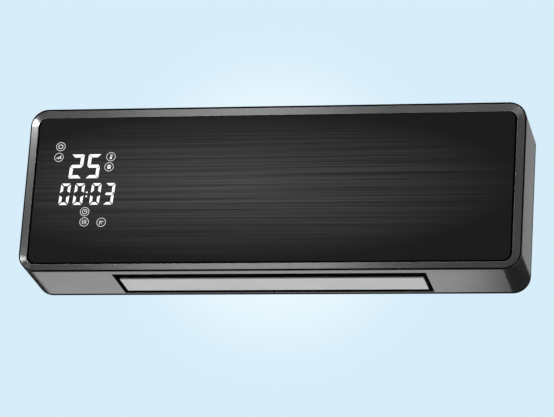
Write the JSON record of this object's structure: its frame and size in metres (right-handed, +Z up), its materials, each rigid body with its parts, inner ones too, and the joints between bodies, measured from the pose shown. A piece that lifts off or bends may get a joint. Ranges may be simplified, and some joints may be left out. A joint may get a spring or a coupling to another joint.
{
  "type": "wall fan heater",
  "caption": "Wide wall-mounted fan heater with a black front panel, a lit display, a bevelled grey casing and a louvered outlet below.",
  "frame": {"origin": "on the wall, at the centre of the wall plate's four screw holes", "axes": "+X to the right as seen from the room, along the width; +Y into the wall; +Z up. The front faces -Y"},
  "size_m": [0.5487, 0.084, 0.187],
  "materials": {
    "panel_black": "gloss with a fine brushed print",
    "display_white": "lit white, emissive",
    "bezel_silver": "satin metallic grey",
    "housing_silver": "satin metallic grey",
    "cover_grey": "fine moulded texture",
    "louver_grey": "satin",
    "outlet_black": "matte",
    "zinc_steel": "zinc plated",
    "core_steel": "stacked laminations",
    "bright_steel": "ground",
    "copper_winding": "varnished copper wire",
    "bronze": "sintered",
    "aluminium_fin": "bare folded strip",
    "ceramic": "unglazed",
    "duct_plastic": "heat-resistant moulding",
    "fan_plastic": "moulded",
    "nylon_white": "moulded",
    "rubber_black": "matte",
    "board_green": "solder mask",
    "relay_blue": "moulded case",
    "component_dark": "sleeved",
    "mesh_dark": "nylon filter mesh",
    "switch_black": "moulded",
    "lead_sleeve": "silicone insulation",
    "tape_black": "foam adhesive",
    "guard_steel": "black coated"
  },
  "bodies": {
    "case": {"bearing_rubber": "rubber_black", "board_connectors": "nylon_white", "board_screws": "zinc_steel", "capacitors": "component_dark", "ceramic_stones": "ceramic", "control_board": "board_green", "cord_gland": "rubber_black", "cover_screws": "zinc_steel", "display_board": "board_green", "display_digits": "display_white", "display_icons": "display_white", "display_leds": "display_white", "display_light_box": "nylon_white", "duct_front_wall": "duct_plastic", "duct_plate_left": "duct_plastic", "duct_plate_right": "duct_plastic", "duct_rear_wall": "duct_plastic", "duct_screws": "zinc_steel", "front_panel": "panel_black", "front_screws": "zinc_steel", "front_trim": "bezel_silver", "heater_fins": "aluminium_fin", "heater_holders": "nylon_white", "heater_side_strips": "aluminium_fin", "heater_tube": "aluminium_fin", "housing_shell": "housing_silver", "internal_leads": "lead_sleeve", "louver_motor": "zinc_steel", "louver_motor_screws": "zinc_steel", "motor_brackets": "zinc_steel", "motor_bushes": "bronze", "motor_coil": "copper_winding", "motor_core": "core_steel", "motor_screws": "zinc_steel", "motor_standoffs": "zinc_steel", "outlet_frame": "outlet_black", "outlet_gasket": "rubber_black", "outlet_guard": "guard_steel", "panel_carrier": "outlet_black", "panel_tape": "tape_black", "rear_cover": "cover_grey", "relays": "relay_blue", "spade_terminals": "zinc_steel", "switch_body": "switch_black", "terminal_block": "nylon_white", "thermal_cutout": "component_dark", "thermal_fuse": "nylon_white", "transformer": "component_dark", "wall_plate": "zinc_steel", "wheel_bush": "bronze"},
    "louver": {"louver_vane": "louver_grey", "louver_motor_shaft": "bright_steel"},
    "fan": {"fan_wheel": "fan_plastic", "fan_stub_shaft": "bright_steel", "motor_shaft": "bright_steel", "motor_rotor": "core_steel"},
    "rocker": {"switch_rocker": "switch_black"},
    "intake": {"intake_grille": "housing_silver", "filter_frame": "duct_plastic", "filter_mesh": "mesh_dark"}
  },
  "joints": [
    {"name": "louver_swing", "type": "hinge", "parent": "case", "child": "louver", "pos_m": [0, -0.026, -0.087], "axis": [1, 0, 0], "range_deg": [0, 75]},
    {"name": "fan_spin", "type": "hinge", "parent": "case", "child": "fan", "pos_m": [0, -0.04, 0.018], "axis": [1, 0, 0], "continuous": true},
    {"name": "switch_rock", "type": "hinge", "parent": "case", "child": "rocker", "pos_m": [-0.2685, -0.04, -0.018], "axis": [0, 1, 0], "range_deg": [-16, 0]},
    {"name": "intake_lift", "type": "slide", "parent": "case", "child": "intake", "axis": [0, 0, 1], "range_m": [0, 0.03]}
  ]
}
